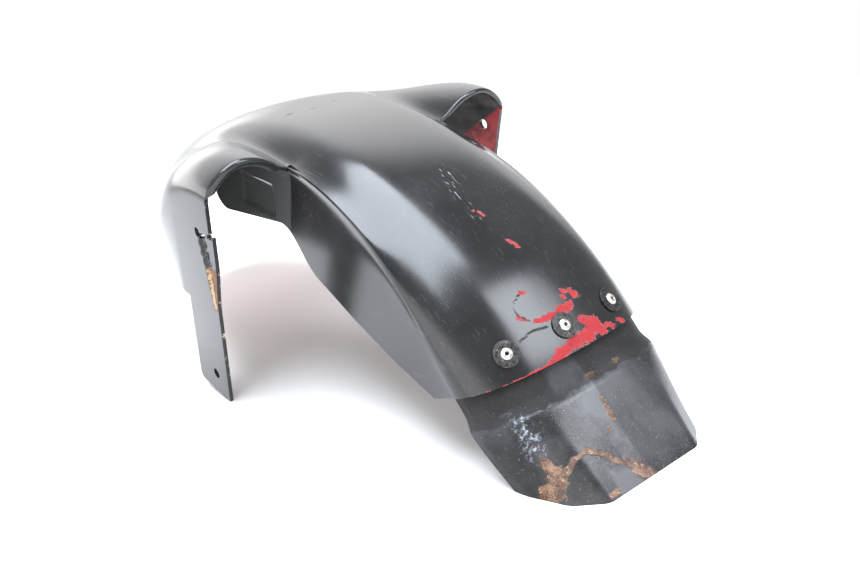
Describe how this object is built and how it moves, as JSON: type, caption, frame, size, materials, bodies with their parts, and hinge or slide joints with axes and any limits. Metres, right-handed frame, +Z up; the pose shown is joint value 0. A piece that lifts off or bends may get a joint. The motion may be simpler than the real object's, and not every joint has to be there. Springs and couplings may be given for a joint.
{
  "type": "motorcycle front fender",
  "caption": "Moulded motorcycle front fender with two hooded fork ears and a riveted mud flap at its rear edge; worn black paint over red, one ear cracked.",
  "frame": {"origin": "on the floor, under the middle of the part's length and width", "axes": "+X forward to the nose, +Y to the rider's left, +Z up, as the part rests on its ears and flap"},
  "size_m": [0.5612, 0.274, 0.2031],
  "materials": {
    "shell_paint": "glossy black paint over red, scuffed and chipped",
    "flap_plastic": "dusty satin black with mud stains",
    "washer_metal": "worn dark grey paint",
    "rivet_metal": "bright, slightly dull"
  },
  "bodies": {
    "root": {"fender_shell": "shell_paint", "mud_flap": "flap_plastic", "rivet_washers": "washer_metal", "blind_rivets": "rivet_metal"}
  },
  "joints": []
}
